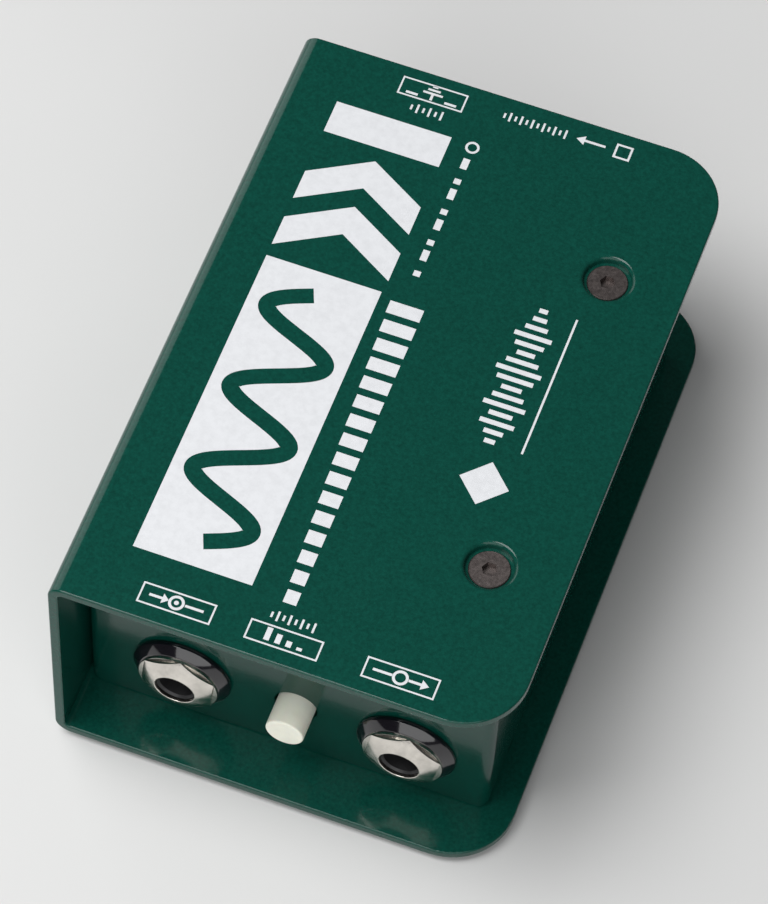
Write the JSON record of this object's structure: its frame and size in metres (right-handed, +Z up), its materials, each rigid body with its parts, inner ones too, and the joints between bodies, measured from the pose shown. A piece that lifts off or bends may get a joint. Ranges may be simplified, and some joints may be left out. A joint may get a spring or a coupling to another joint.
{
  "type": "direct injection box",
  "caption": "Compact passive direct injection box: bent steel cover over a recessed chassis with instrument sockets, push switches and a balanced male output.",
  "frame": {"origin": "on the surface that the box stands on, under the middle of the cover", "axes": "+Z up, +Y from the input end to the output end, +X from the cover's closed side to its open side"},
  "size_m": [0.084, 0.127, 0.0524],
  "materials": {
    "cover_paint": "semi-gloss powder coat",
    "chassis_paint": "semi-gloss powder coat",
    "pad_rubber": "fine-grained neoprene",
    "black_steel": "black oxide",
    "zinc_steel": "zinc plate",
    "nickel": "bright nickel plate",
    "black_plastic": "gloss",
    "ivory_plastic": "satin",
    "white_plastic": "satin",
    "contact_brass": "bright",
    "spring_steel": "drawn wire",
    "board_laminate": "solder mask",
    "shield_metal": "annealed nickel-iron",
    "lamination_steel": "stacked laminations",
    "bobbin_plastic": "moulded nylon",
    "winding_copper": "enamelled wire",
    "resistor_body": "lacquer",
    "tinned_wire": "tinned",
    "capacitor_body": "dipped"
  },
  "bodies": {
    "box": {"outer_cover": "cover_paint", "non_slip_pad": "pad_rubber", "chassis": "chassis_paint", "cover_screws_top": "black_steel", "cover_screws_bottom": "black_steel", "clinch_nuts": "zinc_steel", "circuit_board": "board_laminate", "resistor_bodies": "resistor_body", "resistor_leads": "tinned_wire", "capacitors": "capacitor_body", "transformer_can": "shield_metal", "core_e_stack": "lamination_steel", "core_i_stack": "lamination_steel", "bobbin": "bobbin_plastic", "primary_winding": "winding_copper", "secondary_winding": "winding_copper", "transformer_pins": "tinned_wire", "xlr_housing": "black_plastic", "xlr_insert": "black_plastic", "xlr_pins": "nickel", "xlr_screws": "black_steel", "xlr_nuts": "zinc_steel", "input_jack_housing": "black_plastic", "input_jack_bush": "black_plastic", "input_jack_sleeve_terminal": "contact_brass", "input_jack_tip_terminal": "contact_brass", "input_jack_bezel": "black_plastic", "input_jack_washer": "nickel", "input_jack_nut": "nickel", "thru_jack_housing": "black_plastic", "thru_jack_bush": "black_plastic", "thru_jack_sleeve_terminal": "contact_brass", "thru_jack_tip_terminal": "contact_brass", "thru_jack_bezel": "black_plastic", "thru_jack_washer": "nickel", "thru_jack_nut": "nickel", "pad_switch_spring": "spring_steel", "pad_switch_housing": "black_plastic", "pad_switch_base": "bobbin_plastic", "pad_switch_pins": "tinned_wire", "lift_switch_spring": "spring_steel", "lift_switch_housing": "black_plastic", "lift_switch_base": "bobbin_plastic", "lift_switch_pins": "tinned_wire"},
    "pad_button_slide": {"pad_button": "ivory_plastic", "pad_switch_plunger": "white_plastic", "pad_switch_slider": "contact_brass"},
    "lift_button_slide": {"lift_button": "ivory_plastic", "lift_switch_plunger": "white_plastic", "lift_switch_slider": "contact_brass"},
    "input_tip_contact": {"input_jack_tip_leaf": "contact_brass"},
    "thru_tip_contact": {"thru_jack_tip_leaf": "contact_brass"}
  },
  "joints": [
    {"name": "pad_press", "type": "slide", "parent": "box", "child": "pad_button_slide", "axis": [0, 1, 0], "range_m": [0, 0.0035], "stiffness_N_per_m": 450, "springref_m": -0.003, "deforming": ["pad_switch_spring"]},
    {"name": "lift_press", "type": "slide", "parent": "box", "child": "lift_button_slide", "axis": [0, -1, 0], "range_m": [0, 0.0035], "stiffness_N_per_m": 450, "springref_m": -0.003, "deforming": ["lift_switch_spring"]},
    {"name": "input_tip_flex", "type": "hinge", "parent": "box", "child": "input_tip_contact", "pos_m": [-0.0213, -0.04295, 0.0114], "axis": [-1, 0, 0], "range_deg": [0, 8], "stiffness_Nm_per_rad": 0.2, "springref_deg": -2.86},
    {"name": "thru_tip_flex", "type": "hinge", "parent": "box", "child": "thru_tip_contact", "pos_m": [0.0213, -0.04295, 0.0114], "axis": [-1, 0, 0], "range_deg": [0, 8], "stiffness_Nm_per_rad": 0.2, "springref_deg": -2.86}
  ]
}
